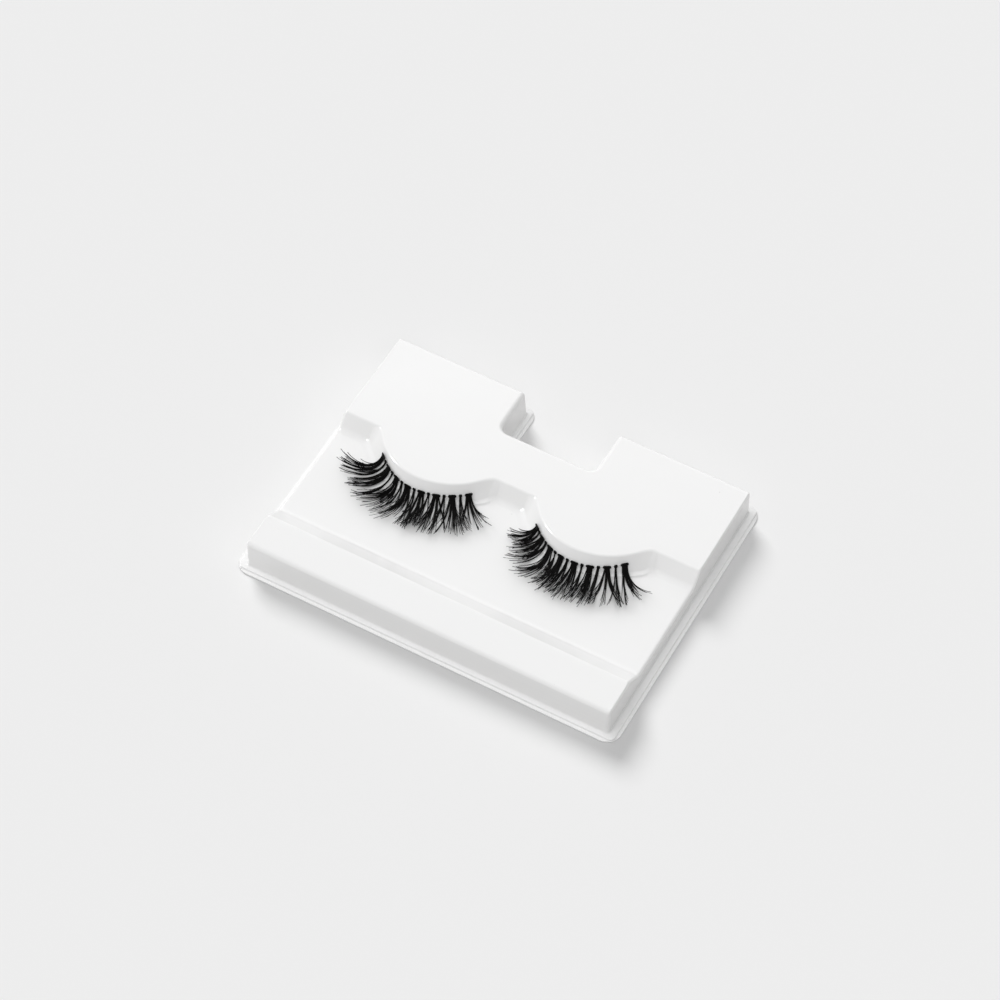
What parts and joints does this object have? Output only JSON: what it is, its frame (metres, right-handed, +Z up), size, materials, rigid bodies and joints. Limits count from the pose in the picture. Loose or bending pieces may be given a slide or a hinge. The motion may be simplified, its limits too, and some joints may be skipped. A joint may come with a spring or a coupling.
{
  "type": "pair of false eyelash strips on a tray",
  "caption": "Wispy clustered false lashes on clear bands, held along two lobes of a shallow hollow white plastic tray with a notched back edge.",
  "frame": {"origin": "centre of the tray's footprint, on the surface that it stands on", "axes": "+X along the tray's long side, to the right seen from the bar; +Y from the bar towards the notched back edge; +Z up"},
  "size_m": [0.116, 0.0884, 0.0107],
  "materials": {
    "tray_plastic": "thin formed sheet, soft gloss, faint specks and draw lines",
    "lash_fibre": "black tapered fibres with a faint sheen on a clear band"
  },
  "bodies": {
    "root": {"tray": "tray_plastic", "lash_strip_left": "lash_fibre", "lash_strip_right": "lash_fibre"}
  },
  "joints": []
}
